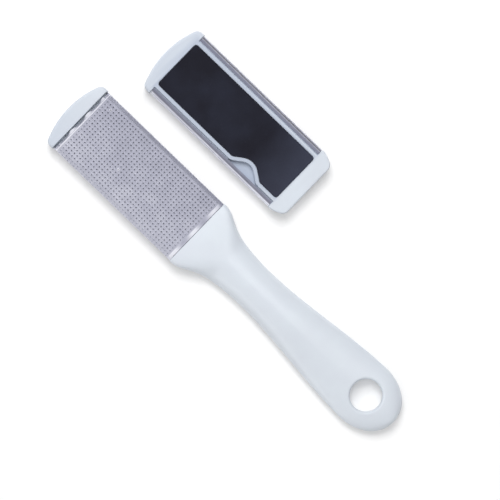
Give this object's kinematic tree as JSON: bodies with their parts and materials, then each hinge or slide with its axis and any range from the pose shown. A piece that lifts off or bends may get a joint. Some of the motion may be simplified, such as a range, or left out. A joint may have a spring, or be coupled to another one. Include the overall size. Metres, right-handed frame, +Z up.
{
  "type": "foot file with interchangeable heads",
  "caption": "Long-handled foot file with a steel rasp on one side of its slide-on head, emery on the other, a matching loose head and a hanging hole.",
  "frame": {"origin": "on the table, in the middle of the box around the tool and the loose head beside it", "axes": "+X along the tool from the tip of its head to the end of its handle, +Y towards the loose head, +Z up from the table to the rasp face"},
  "size_m": [0.2264, 0.0936, 0.0116],
  "materials": {
    "handle_plastic": "smooth gloss moulding",
    "head_plastic": "satin moulding",
    "rasp_steel": "bright punched sheet",
    "emery": "fine black grit on cloth",
    "adhesive": "thin self-adhesive film"
  },
  "bodies": {
    "handle": {"handle": "handle_plastic"},
    "fitted_head": {"fitted_head_frame": "head_plastic", "fitted_rasp_plate": "rasp_steel", "fitted_emery_sheet": "emery", "fitted_adhesive_film": "adhesive"},
    "spare_head": {"spare_head_frame": "head_plastic", "spare_rasp_plate": "rasp_steel", "spare_emery_sheet": "emery", "spare_adhesive_film": "adhesive"}
  },
  "joints": [
    {"name": "head_slide", "type": "slide", "parent": "handle", "child": "fitted_head", "axis": [-1, 0, 0], "range_m": [0, 0.03]},
    {"name": "spare_lift", "type": "slide", "parent": "handle", "child": "spare_head", "axis": [0, 0, 1], "range_m": [0, 0.06]}
  ]
}
